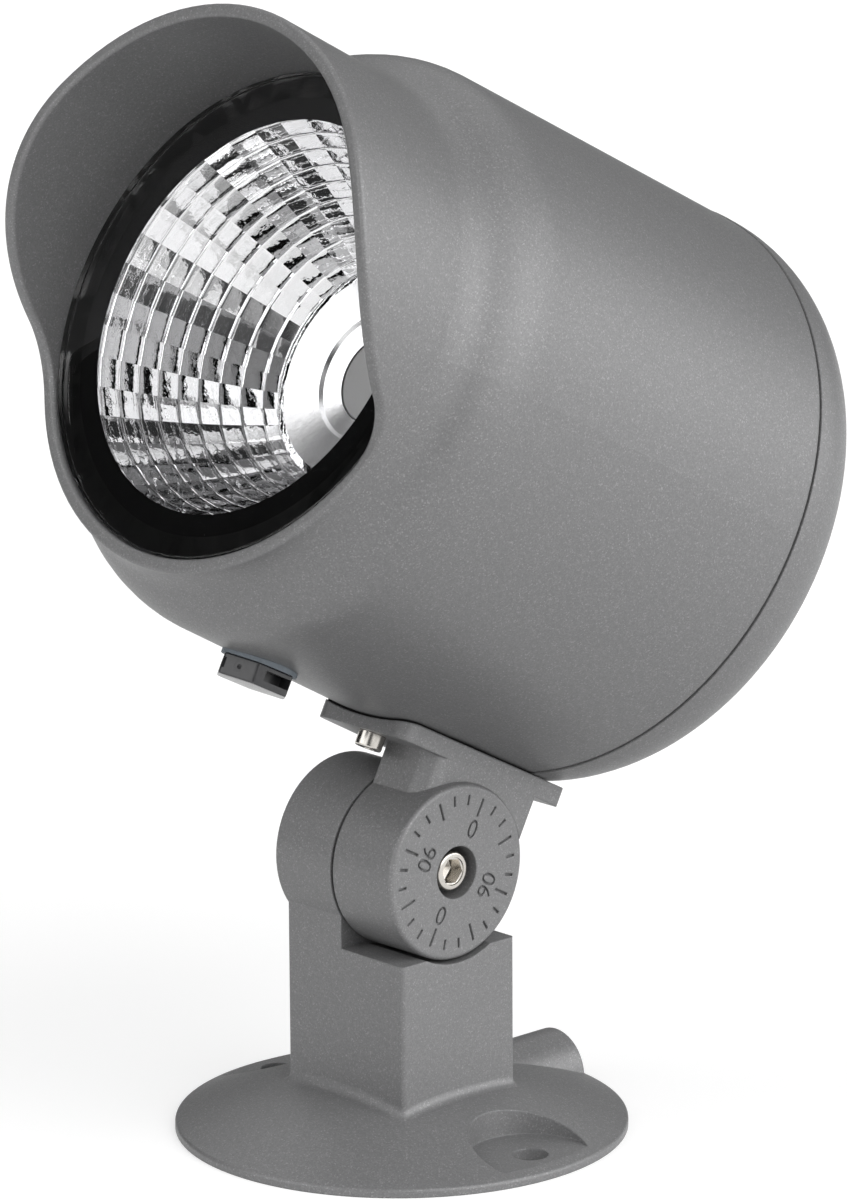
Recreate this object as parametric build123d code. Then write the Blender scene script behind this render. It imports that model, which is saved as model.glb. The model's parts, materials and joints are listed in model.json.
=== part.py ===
from build123d import *
import math
import os

# Tiltable outdoor spotlight. Millimetres and degrees.
# Frame: Z up, origin at the centre of the base's underside, the head faces -Y, the dial faces +X.

# Base and post
base_radius = 57.5
base_rim_height = 2.0
base_apex_height = 13.8
base_wall = 3.2
base_cavity_radius = 47.0
base_rim_round = 0.8
post_width = 42.8
post_depth = 38.2
post_top = 50.0
post_wall = 4.0
post_edge_round = 1.0
post_foot_round = 2.5
lug_radius = 22.6
lug_face = -1.2
saddle_gap = 0.8

# Fixing holes and cable inlet of the base
hole_spacing = 94.0
hole_radius = 4.5
pocket_radius = 15.5
pocket_floor = 3.2
hump_radius = 10.5
hump_axis_height = 2.2
hump_end = 54.5
channel_radius = 6.5
channel_axis_height = 2.0
grommet_length = 8.0
grommet_bore = 3.5
grommet_bore_height = 4.3
grommet_setback = 2.0

# Pivot
pivot_height = 70.6
rest_tilt = 28.37
bracket_height = 28.5
joint_gap = 0.9
knuckle_radius = 22.5
dial_face = 20.8
dial_round = 0.5
bolt_radius = 3.0
bolt_head_radius = 5.0
bolt_head_height = 6.0
bolt_head_depth = 1.3
bolt_socket = 6.0
bolt_end_gap = 0.6
running_clearance = 0.05
counterbore_radius = 6.75
washer_thickness = 1.4
washer_radius = 5.6
washer_gap = 0.1
nut_flats = 10.0
nut_thickness = 5.0
nut_gap = 0.1
bolt_hub_radius = 6.0
wire_chamber_radius = 14.0
wire_chamber_depth = 7.0
wire_way_radius = 4.0
wire_way_wall = 1.0
o_ring_radius = 17.6
o_ring_section = 1.5

# Bracket plate and neck
plate_front_width = 32.8
plate_back_width = 41.8
plate_front = 29.5
plate_back = -26.5
plate_thickness = 3.2
plate_front_corner = 4.5
plate_back_corner = 1.5
gasket_thickness = 0.6
gasket_squeeze = 0.05
gasket_inset = 0.5
neck_half_depth = 17.6
neck_round = 6.0
plate_screw_along = 23.8
inner_screw_low = -4.5
inner_screw_high = 13.0
inner_screw_length = 20.0
pad_thickness = 3.0
pad_gap = 1.0
plate_boss_height = 6.0

# Head housing, measured along the head's axis from the pivot's foot
body_radius = 76.7
body_draft = 0.016
body_wall = 3.8
housing_back = -14.1
shoulder_start = 87.0
shoulder_convex = 21.5
shoulder_concave = 14.4
hood_radius = 66.1
hood_wall = 3.5
hood_lower_rim = 113.8
visor_front = 147.9
visor_arc_radius = 68.4
visor_arc_up = 38.7
visor_throat_radius = 21.7
hood_overrun = 5.0
hood_edge_round = 1.0
ledge_front = 107.7
ledge_thickness = 5.5
ledge_radius = 55.2

# Glass
glass_thickness = 4.0
glass_clearance = 0.5
glass_seal_thickness = 1.2
glass_seal_inner = 56.2
glass_edge_round = 0.4

# Rear cover
cover_gap = 0.6
cover_step = 0.3
cover_side = 2.7
cover_edge_radius = 22.0
cover_crown_radius = 214.0
cover_wall = 3.5
spigot_length = 3.8
spigot_clearance = 0.3
spigot_wall = 3.0
cover_screw_inset = 9.9
cover_screw_seat = -30.0
cover_screw_reach = 14.0
boss_radius = 5.5
boss_length = 23.0
boss_gap = 0.1
rib_width = 7.0

# Optics
facet_sectors = 40
facet_turn = 1.6
facet_first = 70.05
facet_height = 4.55
reflector_focal = 12.1
focus_along = 62.6
reflector_base_radius = 28.4
reflector_mouth = 108.4
reflector_wall = 1.6
reflector_ring_radius = 16.2
reflector_neck_radius = 11.2
reflector_neck_depth = 4.1
reflector_flare_radius = 27.0
reflector_flare_drop = 2.4
reflector_flange_clearance = 1.3
reflector_flange_thickness = 1.8
reflector_screw_inset = 2.9
reflector_screw_bite = 3.5
led_radius = 10.9
led_thickness = 1.5
board_radius = 20.5
board_thickness = 1.6
holder_outer = 22.8
holder_gap = 0.3
holder_ear_thickness = 3.0
holder_ear_width = 9.0
holder_screw_circle = 26.0
holder_screw_head = 1.4
holder_screw_bite = 5.0

# Heat sink and driver
pedestal_radius = 31.0
pedestal_height = 9.5
sink_ear_length = 9.5
sink_thickness = 6.0
sink_clearance = 6.9
sink_ear_width = 15.0
sink_screw_inset = 5.0
sink_screw_bite = 7.0
sink_boss_length = 16.0
fin_count = 12
fin_thickness = 2.5
fin_height = 7.0
fin_reach = 54.0
lead_hole_radius = 4.0
lead_hole_circle = 41.0
driver_width = 76.0
driver_height = 42.0
driver_depth = 28.0
driver_ear = 10.0
driver_ear_thickness = 3.0
driver_round = 2.0

# Vent plug
vent_along = 68.5
vent_turn = -17.0
vent_seal_radius = 9.8
vent_seal_thickness = 0.7
vent_flats = 17.6
vent_edge_round = 1.0
vent_height = 5.0
vent_crown = 0.9
vent_boss_radius = 9.0
vent_stem_radius = 6.0
vent_stem_reach = 8.0
vent_slot_width = 7.0
vent_slot_shift = -1.6
vent_slot_height = 3.0
vent_slot_margin = 1.1

# Screws
m3_radius = 1.5
m3_head_radius = 2.75
m3_head_height = 3.0
m3_socket = 2.5
m4_radius = 2.0
m4_head_radius = 3.5
m4_head_height = 4.0
m4_socket = 3.0
socket_depth = 2.0
screw_clearance = 0.25
screw_end_gap = 1.0
cut_margin = 1.0

# Terminal block
terminal_width = 16.0
terminal_length = 26.0
terminal_height = 18.0
terminal_x = 7.0
terminal_ways = 3
terminal_way_radius = 2.0
terminal_way_drop = 13.5
terminal_screw_bite = 3.0
terminal_screw_grip = 9.0
earth_screw_x = -12.0
earth_screw_y = -9.5
earth_screw_length = 6.0

# Angles of screws about the head's axis, and of the slots in the vent's flats
CORNERS = (45, 135, 225, 315)
SIDES = (0, 90, 180, 270)
ENDS = (0, 180)
THIRDS = (30, 150, 270)

# Values worked out from the driving dimensions
M3 = (m3_radius, m3_head_radius, m3_head_height, m3_socket)
M4 = (m4_radius, m4_head_radius, m4_head_height, m4_socket)
knuckle_face = lug_face + joint_gap
saddle_radius = knuckle_radius + saddle_gap
axis_height = body_radius + bracket_height
plate_underside = -body_radius - plate_thickness
plate_flare = (plate_back_width - plate_front_width) / 2 / (plate_front - plate_back)
neck_side = plate_front_width / 2 + plate_flare * (plate_front - neck_half_depth)
neck_mid = (knuckle_face + neck_side) / 2
post_roof = pivot_height - saddle_radius - post_wall
dome_rise = base_apex_height - base_rim_height
dome_radius = (base_radius ** 2 + dome_rise ** 2) / (2 * dome_rise)
dome_centre = base_apex_height - dome_radius
bolt_head_top = dial_face - bolt_head_depth
bolt_seat = bolt_head_top - bolt_head_height
counterbore_floor = bolt_seat - washer_thickness - washer_gap
nut_pocket_floor = -post_width / 2 + nut_thickness + 2 * nut_gap
shoulder_radius = body_radius - body_draft * shoulder_start
shoulder_sum = shoulder_convex + shoulder_concave
shoulder_turn = math.acos(1 - (shoulder_radius - hood_radius) / shoulder_sum)
shoulder_end = shoulder_start + shoulder_sum * math.sin(shoulder_turn)
ledge_back = ledge_front - ledge_thickness
hood_bore = hood_radius - hood_wall
chamber_end = hood_radius - body_wall
chamber_radius = body_radius - body_wall
rear_radius = body_radius - body_draft * housing_back
cover_radius = rear_radius + cover_step
cover_start = housing_back - cover_gap
cover_corner_along = cover_start - cover_side
spigot_end = cover_start + spigot_length
boss_seat = spigot_end + boss_gap
cover_screw_circle = chamber_radius - cover_screw_inset
glass_back = ledge_front + glass_seal_thickness
glass_front = glass_back + glass_thickness
reflector_vertex = focus_along - reflector_focal
reflector_flange_radius = chamber_end - reflector_flange_clearance
reflector_screw_circle = reflector_flange_radius - reflector_screw_inset
board_face = focus_along - led_thickness
sink_face = board_face - board_thickness
holder_inner = reflector_ring_radius + holder_gap
sink_ear_reach = chamber_radius - sink_clearance
sink_screw_circle = sink_ear_reach - sink_screw_inset
sink_radius = sink_ear_reach - sink_ear_length
sink_plate_front = sink_face - pedestal_height
sink_plate_back = sink_plate_front - sink_thickness
wire_way_along = (inner_screw_low + inner_screw_high) / 2
pad_height = -chamber_radius + pad_thickness
inner_screw_end = pad_height - inner_screw_length
plate_boss_top = -chamber_radius + plate_boss_height
driver_screw_x = driver_width / 2 + driver_ear / 2


def body_radius_at(along):
    """Outer radius of the drafted body at a place along the head's axis."""
    return body_radius - body_draft * along


def block(x0, x1, y0, y1, z0, z1):
    """Box between two corners."""
    centre = Pos((x0 + x1) / 2, (y0 + y1) / 2, (z0 + z1) / 2)
    return centre * Box(x1 - x0, y1 - y0, z1 - z0)


def rod(radius, low, high, x=0.0, y=0.0):
    """Cylinder along Z."""
    return Pos(x, y, (low + high) / 2) * Cylinder(radius, high - low)


def rod_x(radius, low, high, y=0.0, z=0.0):
    """Cylinder along X."""
    return Pos((low + high) / 2, y, z) * Rot(0, 90, 0) * Cylinder(radius, high - low)


def rod_y(radius, low, high, x=0.0, z=0.0):
    """Cylinder along Y."""
    return Pos(x, (low + high) / 2, z) * Rot(90, 0, 0) * Cylinder(radius, high - low)


def tube(outer, inner, low, high):
    """Ring about Z."""
    return rod(outer, low, high) - rod(inner, low, high)


def turned(outline):
    """Solid of revolution about Z from a closed outline in radius and height."""
    return revolve(Plane.XZ * make_face(outline), Axis.Z)


def polygon(*points):
    """Closed outline of straight lines."""
    return Polyline(*points, close=True)


def arc_about(centre, radius, start, end):
    """Arc about a centre, from one angle to another, in degrees from the first axis."""
    spots = []
    for angle in (start, (start + end) / 2, end):
        turn = math.radians(angle)
        spots.append((centre[0] + radius * math.cos(turn), centre[1] + radius * math.sin(turn)))
    return ThreePointArc(*spots)


def hexagon(flats):
    """Regular hexagon across its flats."""
    return RegularPolygon(flats / 2, 6, major_radius=False)


def around(angles, radius, piece):
    """Copies of a piece at angles about Z, each moved out to a radius along X."""
    return [Rot(0, 0, angle) * Pos(radius, 0, 0) * piece for angle in angles]


def merged(first, others):
    """One solid from a solid and a list of pieces that touch it."""
    for other in others:
        first = first + other
    return first


def drilled(first, others):
    """A solid with a list of pieces taken out of it."""
    for other in others:
        first = first - other
    return first


def cap_screw(size, length):
    """Socket cap screw along Z: the head stands on Z = 0 and the shank goes down."""
    shank, head, height, socket = size
    screw = rod(shank, -length, 0) + rod(head, 0, height)
    depth = min(socket_depth, height / 2)
    return screw - Pos(0, 0, height - depth) * extrude(hexagon(socket), depth)


def in_head(piece):
    """Places a piece of the head, tilted to its angle at rest."""
    return Pos(0, 0, pivot_height) * Rot(90 - rest_tilt, 0, 0) * Pos(0, axis_height, 0) * piece


# Base


def dome(radius, reach, low):
    """Spherical cap over the base's centre, out to a radius, down to a height."""
    edge_height = dome_centre + math.sqrt(radius ** 2 - reach ** 2)
    top_height = dome_centre + radius
    edge_angle = math.degrees(math.asin((edge_height - dome_centre) / radius))
    outline = Line((0, low), (reach, low)) + Line((reach, low), (reach, edge_height))
    outline += arc_about((0, dome_centre), radius, edge_angle, 90)
    outline += Line((0, top_height), (0, low))
    return turned(outline)


def base_foot():
    """Domed disc and post with their rounded foot."""
    disc = dome(dome_radius, base_radius, 0)
    disc = fillet(disc.edges().filter_by(GeomType.CIRCLE).group_by(Axis.Z)[1], base_rim_round)
    post = block(-post_width / 2, post_width / 2, -post_depth / 2, post_depth / 2, base_rim_height, post_top)
    post = fillet(post.edges().filter_by(Axis.Z), post_edge_round)
    foot = disc + post
    low = base_rim_height + base_rim_round
    seam = foot.edges().filter_by(lambda edge: low < edge.center().Z < base_apex_height)
    seam = seam.filter_by(lambda edge: math.hypot(edge.center().X, edge.center().Y) < post_width)
    return fillet(seam.filter_by(GeomType.LINE, reverse=True), post_foot_round)


def lug():
    """Round ear on the left half of the post that the head turns against."""
    left = -post_width / 2
    upright = block(left, lug_face, -post_depth / 2, post_depth / 2, post_top - post_wall, pivot_height)
    upright = fillet(upright.edges().filter_by(Axis.Z).group_by(Axis.X)[0], post_edge_round)
    return upright + rod_x(lug_radius, left, lug_face, z=pivot_height)


def base_cavity():
    """Hollow under the dome and up inside the post, with the cable channel."""
    hollow = dome(dome_radius - base_wall, base_cavity_radius, 0)
    for side in (-1, 1):
        hollow -= rod(pocket_radius + base_wall, -cut_margin, post_top, x=side * hole_spacing / 2)
    half_x = post_width / 2 - post_wall
    half_y = post_depth / 2 - post_wall
    hollow += block(-half_x, half_x, -half_y, half_y, 0, post_roof)
    return hollow + channel(0, base_radius + hump_radius)


def channel(start, end):
    """Round-topped cable way along +Y."""
    arch = rod_y(channel_radius, start, end, z=channel_axis_height)
    arch += block(-channel_radius, channel_radius, start, end, 0, channel_axis_height)
    return arch & block(-channel_radius, channel_radius, start, end, 0, post_top)


def base_casting():
    """Base disc, post and lug as one casting."""
    hump = rod_y(hump_radius, 0, hump_end, z=hump_axis_height)
    hump &= block(-hump_radius, hump_radius, 0, hump_end, 0, post_top)
    casting = base_foot() + hump + lug()
    casting -= rod_x(saddle_radius, lug_face, post_width, z=pivot_height)
    for side in (-1, 1):
        x = side * hole_spacing / 2
        casting -= rod(pocket_radius, pocket_floor, post_top, x=x)
        casting -= rod(hole_radius, -cut_margin, post_top, x=x)
    casting -= base_cavity()
    casting -= rod_x(bolt_radius, -post_width, lug_face, z=pivot_height)
    nut_pocket = extrude(hexagon(nut_flats + 2 * nut_gap), nut_thickness + 2 * nut_gap)
    casting -= Pos(-post_width / 2, 0, pivot_height) * Rot(0, 90, 0) * nut_pocket
    chamber = rod_x(wire_chamber_radius, lug_face - wire_chamber_depth, lug_face, z=pivot_height)
    hub = rod_x(bolt_hub_radius, -post_width, lug_face, z=pivot_height)
    casting -= chamber - hub
    way_x = lug_face - wire_way_radius - wire_way_wall
    roof_cut = post_roof - cut_margin
    casting -= rod(wire_way_radius, roof_cut, pivot_height - wire_chamber_radius / 2, x=way_x)
    casting -= o_ring_groove()
    casting -= rod(m3_radius, roof_cut, post_roof + terminal_screw_bite, x=terminal_x)
    casting -= rod(m4_radius, roof_cut, post_roof + earth_screw_length, x=earth_screw_x, y=earth_screw_y)
    return casting


def o_ring_groove():
    """Groove in the lug's face for the pivot's ring."""
    half = o_ring_section
    ring = rod_x(o_ring_radius + half, lug_face - 2 * half, lug_face, z=pivot_height)
    return ring - rod_x(o_ring_radius - half, lug_face - 2 * half, lug_face, z=pivot_height)


def pivot_o_ring():
    """Rubber ring that keeps water out of the pivot."""
    ring = Torus(o_ring_radius, o_ring_section)
    return Pos(lug_face - o_ring_section, 0, pivot_height) * Rot(0, 90, 0) * ring


def cable_grommet():
    """Rubber bush that fills the cable way at its mouth."""
    start = hump_end - grommet_setback - grommet_length
    bush = channel(start, start + grommet_length)
    return bush - rod_y(grommet_bore, start - cut_margin, hump_end, z=grommet_bore_height)


def terminal_block():
    """Screw terminals for the supply cable, under the post's roof."""
    x0 = terminal_x - terminal_width / 2
    x1 = terminal_x + terminal_width / 2
    y1 = terminal_length / 2
    piece = block(x0, x1, -y1, y1, post_roof - terminal_height, post_roof)
    piece -= rod(m3_radius + screw_clearance, 0, post_roof, x=terminal_x)
    piece -= rod(m3_head_radius + screw_clearance, 0, post_roof - terminal_screw_grip, x=terminal_x)
    pitch = terminal_length / terminal_ways
    for way in range(terminal_ways):
        y = (way - (terminal_ways - 1) / 2) * pitch
        z = post_roof - terminal_way_drop
        end = terminal_x - m3_head_radius - cut_margin
        piece -= rod_x(terminal_way_radius, x0 - cut_margin, end, y=y, z=z)
    return piece


def terminal_screw():
    """Screw that holds the terminal block to the post's roof."""
    length = terminal_screw_grip + terminal_screw_bite
    return Pos(terminal_x, 0, post_roof - terminal_screw_grip) * Rot(180, 0, 0) * cap_screw(M3, length)


def earth_screw():
    """Earth screw in the post's roof."""
    return Pos(earth_screw_x, earth_screw_y, post_roof) * Rot(180, 0, 0) * cap_screw(M4, earth_screw_length)


def pivot_bolt():
    """Cap screw along the pivot, with its head sunk in the dial."""
    length = bolt_seat + post_width / 2 - bolt_end_gap
    size = (bolt_radius, bolt_head_radius, bolt_head_height, bolt_socket)
    return Pos(bolt_seat, 0, pivot_height) * Rot(0, 90, 0) * cap_screw(size, length)


def pivot_washer():
    """Spring washer under the bolt's head."""
    start = bolt_seat - washer_thickness
    ring = rod_x(washer_radius, start, bolt_seat, z=pivot_height)
    return ring - rod_x(bolt_radius + running_clearance, start, bolt_seat, z=pivot_height)


def pivot_nut():
    """Hexagon nut held in the lug's pocket."""
    nut = extrude(hexagon(nut_flats), nut_thickness) - rod(bolt_radius, 0, nut_thickness)
    start = nut_pocket_floor - nut_thickness
    return Pos(start, 0, pivot_height) * Rot(0, 90, 0) * nut


# Bracket between pivot and head, in the head's frame: X across, Y up from the axis, Z forward


def body_form(extra, back, front):
    """Turned form of the body, grown by an extra radius, between two places."""
    return turned(polygon(
        (0, back),
        (body_radius_at(back) + extra, back),
        (body_radius_at(front) + extra, front),
        (0, front),
    ))


def plate_half(along):
    """Half width of the plate, which flares to the back, at a place along the head's axis."""
    return plate_front_width / 2 + plate_flare * (plate_front - along)


def upright_prism(low, high, *points):
    """Prism between two heights from a closed outline in X and Z."""
    return Pos(0, high, 0) * extrude(Plane.XZ * make_face(polygon(*points)), high - low)


def plate_outline(inset, low, high, back, front):
    """Rounded plate under the head, before it is cut to the body's curve."""
    ends = (back + inset, front - inset)
    back_half, front_half = [plate_half(end) - inset for end in ends]
    plate = upright_prism(
        low,
        high,
        (-back_half, ends[0]),
        (back_half, ends[0]),
        (front_half, ends[1]),
        (-front_half, ends[1]),
    )
    uprights = plate.edges().filter_by(Axis.Y).group_by(Axis.Z)
    plate = fillet(uprights[-1], plate_front_corner - inset)
    uprights = plate.edges().filter_by(Axis.Y).group_by(Axis.Z)
    return fillet(uprights[0], plate_back_corner - inset)


def knuckle_bracket():
    """Curved plate, neck and dial knuckle as one casting."""
    cradle_top = -body_radius / 2
    plate = plate_outline(0, plate_underside, cradle_top, plate_back, plate_front)
    neck = upright_prism(
        -axis_height,
        cradle_top,
        (knuckle_face, -neck_half_depth),
        (plate_half(-neck_half_depth), -neck_half_depth),
        (neck_side, neck_half_depth),
        (knuckle_face, neck_half_depth),
    )
    front_edges = neck.edges().filter_by(Axis.Y).group_by(Axis.Z)[-1]
    neck = fillet(front_edges.sort_by(Axis.X)[-1], neck_round)
    knuckle = rod_x(knuckle_radius, knuckle_face, dial_face, y=-axis_height)
    knuckle = fillet(knuckle.edges().group_by(Axis.X)[-1], dial_round)
    bracket = plate + neck + knuckle
    bracket -= body_form(gasket_thickness, plate_back - cut_margin, plate_front + cut_margin)
    bracket -= rod_x(counterbore_radius, counterbore_floor, dial_face, y=-axis_height)
    bracket -= rod_x(bolt_radius + running_clearance, knuckle_face, dial_face, y=-axis_height)
    chamber = rod_x(wire_chamber_radius, knuckle_face, knuckle_face + wire_chamber_depth, y=-axis_height)
    hub = rod_x(bolt_hub_radius, knuckle_face, dial_face, y=-axis_height)
    bracket -= chamber - hub
    chamber_top = -axis_height + wire_chamber_radius
    bracket -= rod_y(wire_way_radius, chamber_top - wire_way_radius, cradle_top, x=neck_mid, z=wire_way_along)
    screw_hole = m4_radius + screw_clearance
    bracket -= rod_y(screw_hole, plate_underside - cut_margin, cradle_top, z=plate_screw_along)
    for along in (inner_screw_low, inner_screw_high):
        bracket -= rod_y(m4_radius, inner_screw_end, cradle_top, x=neck_mid, z=along)
    return bracket


def plate_gasket():
    """Rubber gasket between the bracket's plate and the housing."""
    back = housing_back + gasket_inset
    sheet = plate_outline(gasket_inset, plate_underside, -body_radius / 2, back, plate_front)
    sheet &= body_form(gasket_thickness - gasket_squeeze, back - cut_margin, plate_front + cut_margin)
    sheet -= body_form(gasket_squeeze, back - cut_margin, plate_front + cut_margin)
    sheet -= rod_y(m4_radius + screw_clearance, plate_underside, 0, z=plate_screw_along)
    sheet -= rod_y(wire_way_radius, plate_underside, 0, x=neck_mid, z=wire_way_along)
    for along in (inner_screw_low, inner_screw_high):
        sheet -= rod_y(m4_radius + screw_clearance, plate_underside, 0, x=neck_mid, z=along)
    return sheet


def plate_front_screw():
    """Cap screw from below at the plate's front."""
    length = plate_boss_top - plate_underside - 2 * screw_end_gap
    return Pos(0, plate_underside, plate_screw_along) * Rot(90, 0, 0) * cap_screw(M4, length)


def plate_inner_screws():
    """Two cap screws from inside the housing into the neck."""
    screws = []
    for along in (inner_screw_low, inner_screw_high):
        turned_up = Rot(-90, 0, 0) * cap_screw(M4, inner_screw_length - screw_end_gap)
        screws.append(Pos(neck_mid, pad_height, along) * turned_up)
    return screws


# Head housing


def shoulder_arcs(inset):
    """S-step from the body to the hood, in radius and place along the axis, set in by a wall."""
    turn = math.degrees(shoulder_turn)
    high = (shoulder_radius - shoulder_convex, shoulder_start)
    low = (hood_radius + shoulder_concave, shoulder_end)
    return (
        arc_about(high, shoulder_convex - inset, 0, turn)
        + arc_about(low, shoulder_concave + inset, 180 + turn, 180)
    )


def housing_outside(front):
    """Outer form of the body, shoulder and hood, closed at both ends."""
    outline = Line((0, housing_back), (rear_radius, housing_back))
    outline += Line((rear_radius, housing_back), (shoulder_radius, shoulder_start))
    outline += shoulder_arcs(0)
    outline += Line((hood_radius, shoulder_end), (hood_radius, front))
    outline += Line((hood_radius, front), (0, front))
    outline += Line((0, front), (0, housing_back))
    return turned(outline)


def housing_inside(front):
    """Rear chamber, ledge opening and hood bore as one form to take out."""
    end = max(shoulder_end, ledge_back) + cut_margin
    rear_bore = rear_radius - body_wall
    outline = Line((0, housing_back), (rear_bore, housing_back))
    outline += Line((rear_bore, housing_back), (shoulder_radius - body_wall, shoulder_start))
    outline += shoulder_arcs(body_wall)
    outline += Line((chamber_end, shoulder_end), (chamber_end, end))
    outline += Line((chamber_end, end), (0, end)) + Line((0, end), (0, housing_back))
    chamber = turned(outline) & rod(body_radius, housing_back, ledge_back)
    return chamber + rod(ledge_radius, ledge_back, ledge_front) + rod(hood_bore, ledge_front, front)


def visor_cut(front):
    """What the visor's sweep takes off the hood, as seen from the side."""
    reach = 2 * hood_radius
    high = (visor_arc_up, visor_front - visor_arc_radius)
    low_along = hood_lower_rim + visor_throat_radius
    span = visor_arc_radius + visor_throat_radius
    low = (visor_arc_up - math.sqrt(span ** 2 - (low_along - high[1]) ** 2), low_along)
    slope = math.degrees(math.atan2(low[1] - high[1], low[0] - high[0]))
    outline = Line((reach, visor_front), (visor_arc_up, visor_front))
    outline += arc_about(high, visor_arc_radius, 90, slope)
    outline += arc_about(low, visor_throat_radius, slope - 180, -90)
    outline += Polyline(
        (low[0], hood_lower_rim),
        (-reach, hood_lower_rim),
        (-reach, front),
        (reach, front),
        (reach, visor_front),
    )
    return extrude(Plane.YZ * make_face(outline), reach, both=True)


def boss(circle, low, high, radius):
    """Screw boss joined to the housing's wall by a rib, on the X axis."""
    rib = block(circle, body_radius, -rib_width / 2, rib_width / 2, low, high)
    return rod(radius, low, high, x=circle) + rib


def housing_bosses():
    """Screw bosses and pads inside the housing."""
    rear = boss(cover_screw_circle, boss_seat, boss_seat + boss_length, boss_radius)
    sink = boss(sink_screw_circle, sink_plate_front, sink_plate_front + sink_boss_length, boss_radius)
    pieces = around(CORNERS, 0, rear) + around(SIDES, 0, sink)
    half = (neck_side - knuckle_face) / 2
    pad_back = spigot_end + pad_gap
    pad_front = inner_screw_high + boss_radius
    pieces.append(block(neck_mid - half, neck_mid + half, -body_radius, pad_height, pad_back, pad_front))
    pieces.append(rod_y(boss_radius, -body_radius, plate_boss_top, z=plate_screw_along))
    vent_boss = vent_seat() + vent_stem_reach
    pieces.append(rod_y(vent_boss_radius, -body_radius, vent_boss, z=vent_along))
    return pieces


def housing_holes():
    """Screw, cable and vent holes of the housing."""
    cover_hole_end = boss_seat + cover_screw_reach + screw_end_gap
    holes = around(CORNERS, cover_screw_circle, rod(m4_radius, boss_seat, cover_hole_end))
    sink_hole_end = sink_plate_front + sink_screw_bite + screw_end_gap
    holes += around(SIDES, sink_screw_circle, rod(m4_radius, sink_plate_front, sink_hole_end))
    reflector_hole_end = ledge_back + reflector_screw_bite + screw_end_gap / 2
    holes += around(THIRDS, reflector_screw_circle, rod(m3_radius, ledge_back, reflector_hole_end))
    deep = -body_radius / 2
    holes.append(rod_y(m4_radius, -2 * body_radius, plate_boss_top - screw_end_gap, z=plate_screw_along))
    holes.append(rod_y(wire_way_radius, -2 * body_radius, deep, x=neck_mid, z=wire_way_along))
    holes.append(rod_y(vent_stem_radius, -2 * body_radius, deep, z=vent_along))
    for along in (inner_screw_low, inner_screw_high):
        holes.append(rod_y(m4_radius + screw_clearance, -2 * body_radius, deep, x=neck_mid, z=along))
    return holes


def head_housing():
    """Body, shoulder and visored hood as one casting."""
    front = visor_front + hood_overrun
    outside = housing_outside(front)
    shell = outside - housing_inside(front) - visor_cut(front)
    rim_start = hood_lower_rim - hood_edge_round
    rim = shell.edges().filter_by(lambda edge: edge.center().Z > rim_start)
    shell = fillet(rim, hood_edge_round)
    shell = merged(shell, [piece & outside for piece in housing_bosses()])
    return drilled(shell, housing_holes())


def front_glass():
    """Flat front glass."""
    pane = rod(hood_bore - glass_clearance, glass_back, glass_front)
    return fillet(pane.edges().filter_by(GeomType.CIRCLE), glass_edge_round)


def glass_seal():
    """Silicone ring between the ledge and the glass."""
    return tube(hood_bore - glass_clearance, glass_seal_inner, ledge_front, glass_back)


# Rear cover


def cover_form(shrink, front):
    """Domed form of the rear cover, made smaller all round by a wall, up to a front place."""
    edge = cover_edge_radius - shrink
    crown = cover_crown_radius - shrink
    corner = (cover_radius - cover_edge_radius, cover_corner_along)
    crown_along = corner[1] + math.sqrt((crown - edge) ** 2 - corner[0] ** 2)
    slope = math.degrees(math.atan2(corner[1] - crown_along, corner[0]))
    outline = Line((0, front), (cover_radius - shrink, front))
    outline += Line((cover_radius - shrink, front), (cover_radius - shrink, cover_corner_along))
    outline += arc_about(corner, edge, 0, slope)
    outline += arc_about((0, crown_along), crown, slope, -90)
    outline += Line((0, crown_along - crown), (0, front))
    return turned(outline)


def rear_cover():
    """Domed rear cover with its spigot and screw pillars."""
    outside = cover_form(0, cover_start)
    spigot_radius = rear_radius - body_wall - spigot_clearance
    cover = outside - cover_form(cover_wall, cover_start)
    flange = tube(cover_radius - cover_wall / 2, spigot_radius - spigot_wall, cover_corner_along, cover_start)
    cover += flange & outside
    cover += tube(spigot_radius, spigot_radius - spigot_wall, cover_start, spigot_end)
    pillar = rod(boss_radius, -2 * body_radius, cover_start)
    pillar_top = rod(boss_radius, cover_start, spigot_end)
    cover = merged(cover, [piece & outside for piece in around(CORNERS, cover_screw_circle, pillar)])
    cover = merged(cover, around(CORNERS, cover_screw_circle, pillar_top))
    counterbore = rod(m4_head_radius + 2 * screw_clearance, -2 * body_radius, cover_screw_seat)
    passage = rod(m4_radius + screw_clearance, -2 * body_radius, spigot_end)
    return drilled(cover, around(CORNERS, cover_screw_circle, counterbore + passage))


def rear_cover_seal():
    """Flat seal in the parting line."""
    inner = rear_radius - body_wall + spigot_clearance
    return tube(rear_radius - 2 * cover_gap, inner, cover_start, housing_back)


def rear_cover_screws():
    """Four cap screws from the back."""
    length = boss_seat + cover_screw_reach - cover_screw_seat
    screw = Pos(0, 0, cover_screw_seat) * Rot(180, 0, 0) * cap_screw(M4, length)
    return around(CORNERS, cover_screw_circle, screw)


# Optics


def bowl_along(radius):
    """Place along the axis where the reflector's parabola has a radius."""
    return reflector_vertex + radius ** 2 / (4 * reflector_focal)


def bowl_radius(along):
    """Radius of the reflector's parabola at a place along the axis."""
    return math.sqrt(4 * reflector_focal * (along - reflector_vertex))


def bowl_rings():
    """Radius and place of each facet ring's edge, with part rings at both ends."""
    places = [bowl_along(reflector_base_radius)]
    place = facet_first
    while place < reflector_mouth:
        places.append(place)
        place += facet_height
    places.append(reflector_mouth)
    return [(bowl_radius(place), place) for place in places]


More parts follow.
